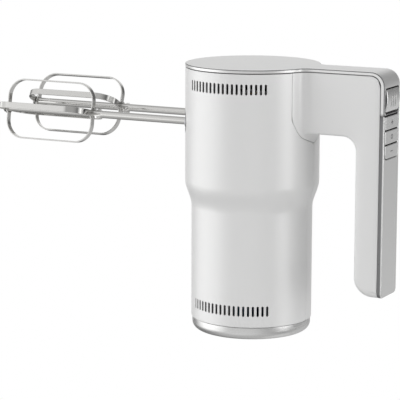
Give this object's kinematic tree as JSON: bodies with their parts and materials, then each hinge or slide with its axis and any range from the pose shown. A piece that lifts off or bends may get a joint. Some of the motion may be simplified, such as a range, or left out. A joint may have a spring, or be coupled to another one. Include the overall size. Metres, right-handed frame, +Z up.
{
  "type": "hand mixer",
  "caption": "Cordless hand mixer standing on its heel: round white body, silver cover running over the arm and handle, keys, eject button and crossed-loop beaters.",
  "frame": {"origin": "centre of the underside of the round foot pad, on the axis of the body", "axes": "+Z up along the axis of the body; +X from the body towards the handle, so the beaters point along -X; the left side is -Y"},
  "size_m": [0.2859, 0.0908, 0.1821],
  "materials": {
    "body_white": "satin white moulding",
    "silver": "metallic silver lacquer, finely brushed",
    "rubber": "matt black",
    "dark_plastic": "moulded, fine grain",
    "beater_steel": "polished stainless strip",
    "steel": "turned and zinc plated",
    "spring_steel": "drawn wire",
    "screw_steel": "zinc plated",
    "frame_metal": "die cast",
    "bronze": "sintered or machined bronze",
    "copper": "enamelled copper",
    "ferrite": "sintered, matt",
    "gear_plastic": "natural acetal",
    "circuit_board": "solder mask",
    "cell_wrap": "shrink wrap over a steel can",
    "wire_insulation": "PVC"
  },
  "bodies": {
    "root": {"body_left": "body_white", "body_right": "body_white", "handle_shell": "body_white", "top_cover": "silver", "back_strip": "silver", "base_cap": "silver", "base_pad": "rubber", "socket_plate": "dark_plastic", "charge_socket": "steel", "motor_plate": "steel", "gearbox_front_plate": "frame_metal", "gearbox_rear_plate": "frame_metal", "top_bridge": "frame_metal", "spindle_bushes": "bronze", "shaft_bushes": "bronze", "motor_can": "steel", "motor_end_cap": "dark_plastic", "motor_magnets": "ferrite", "motor_brushes": "ferrite", "eject_spring": "spring_steel", "control_board": "circuit_board", "key_switches": "dark_plastic", "battery_cell_1": "cell_wrap", "battery_cell_2": "cell_wrap", "battery_cell_3": "cell_wrap", "cell_holder_lower": "dark_plastic", "cell_holder_upper": "dark_plastic", "battery_board": "circuit_board", "wire_loom": "wire_insulation", "base_screws": "screw_steel", "frame_screws": "screw_steel", "handle_screws": "screw_steel", "board_screws": "screw_steel"},
    "rotor": {"motor_shaft": "steel", "rotor_core": "steel", "rotor_windings": "copper", "commutator": "copper", "cooling_fan": "dark_plastic", "worm": "bronze"},
    "spindle_left": {"spindle_hub_left": "steel", "worm_wheel_left": "gear_plastic", "detent_clip_left": "spring_steel"},
    "spindle_right": {"spindle_hub_right": "steel", "worm_wheel_right": "gear_plastic", "detent_clip_right": "spring_steel"},
    "pin_left": {"push_pin_left": "steel"},
    "pin_right": {"push_pin_right": "steel"},
    "beater_left": {"beater_stem_left": "beater_steel", "beater_loop_left_outer": "beater_steel", "beater_loop_left_inner": "beater_steel"},
    "beater_right": {"beater_stem_right": "beater_steel", "beater_loop_right_outer": "beater_steel", "beater_loop_right_inner": "beater_steel"},
    "eject": {"eject_button": "silver", "eject_rod": "steel", "eject_slide": "dark_plastic"},
    "key_plus": {"key_plus": "silver"},
    "key_power": {"key_power": "silver"},
    "key_minus": {"key_minus": "silver"}
  },
  "joints": [
    {"name": "rotor_spin", "type": "hinge", "parent": "root", "child": "rotor", "pos_m": [0, 0, 0.12], "axis": [0, 0, 1], "continuous": true},
    {"name": "spindle_left_spin", "type": "hinge", "parent": "root", "child": "spindle_left", "pos_m": [0, -0.01975, 0.1426], "axis": [1, 0, 0], "continuous": true},
    {"name": "spindle_right_spin", "type": "hinge", "parent": "root", "child": "spindle_right", "pos_m": [0, 0.01975, 0.1426], "axis": [1, 0, 0], "continuous": true},
    {"name": "eject_press", "type": "slide", "parent": "root", "child": "eject", "axis": [-1, 0, 0], "range_m": [0, 0.005], "stiffness_N_per_m": 700, "springref_m": -0.003, "deforming": ["eject_spring"]},
    {"name": "pin_left_slide", "type": "slide", "parent": "spindle_left", "child": "pin_left", "axis": [-1, 0, 0], "range_m": [0, 0.005]},
    {"name": "pin_right_slide", "type": "slide", "parent": "spindle_right", "child": "pin_right", "axis": [-1, 0, 0], "range_m": [0, 0.005]},
    {"name": "beater_left_pull", "type": "slide", "parent": "pin_left", "child": "beater_left", "axis": [-1, 0, 0], "range_m": [0, 0.04], "deforming": ["detent_clip_left"]},
    {"name": "beater_right_pull", "type": "slide", "parent": "pin_right", "child": "beater_right", "axis": [-1, 0, 0], "range_m": [0, 0.04], "deforming": ["detent_clip_right"]},
    {"name": "key_plus_press", "type": "slide", "parent": "root", "child": "key_plus", "axis": [-1, 0, 0], "range_m": [0, 0.0012], "stiffness_N_per_m": 250, "springref_m": -0.001},
    {"name": "key_power_press", "type": "slide", "parent": "root", "child": "key_power", "axis": [-1, 0, 0], "range_m": [0, 0.0012], "stiffness_N_per_m": 250, "springref_m": -0.001},
    {"name": "key_minus_press", "type": "slide", "parent": "root", "child": "key_minus", "axis": [-1, 0, 0], "range_m": [0, 0.0012], "stiffness_N_per_m": 250, "springref_m": -0.001}
  ],
  "couplings": [
    {"joint": "spindle_left_spin", "follows": "rotor_spin", "ratio": -0.033333},
    {"joint": "spindle_right_spin", "follows": "rotor_spin", "ratio": 0.033333},
    {"joint": "pin_left_slide", "follows": "eject_press", "ratio": 1},
    {"joint": "pin_right_slide", "follows": "eject_press", "ratio": 1}
  ]
}
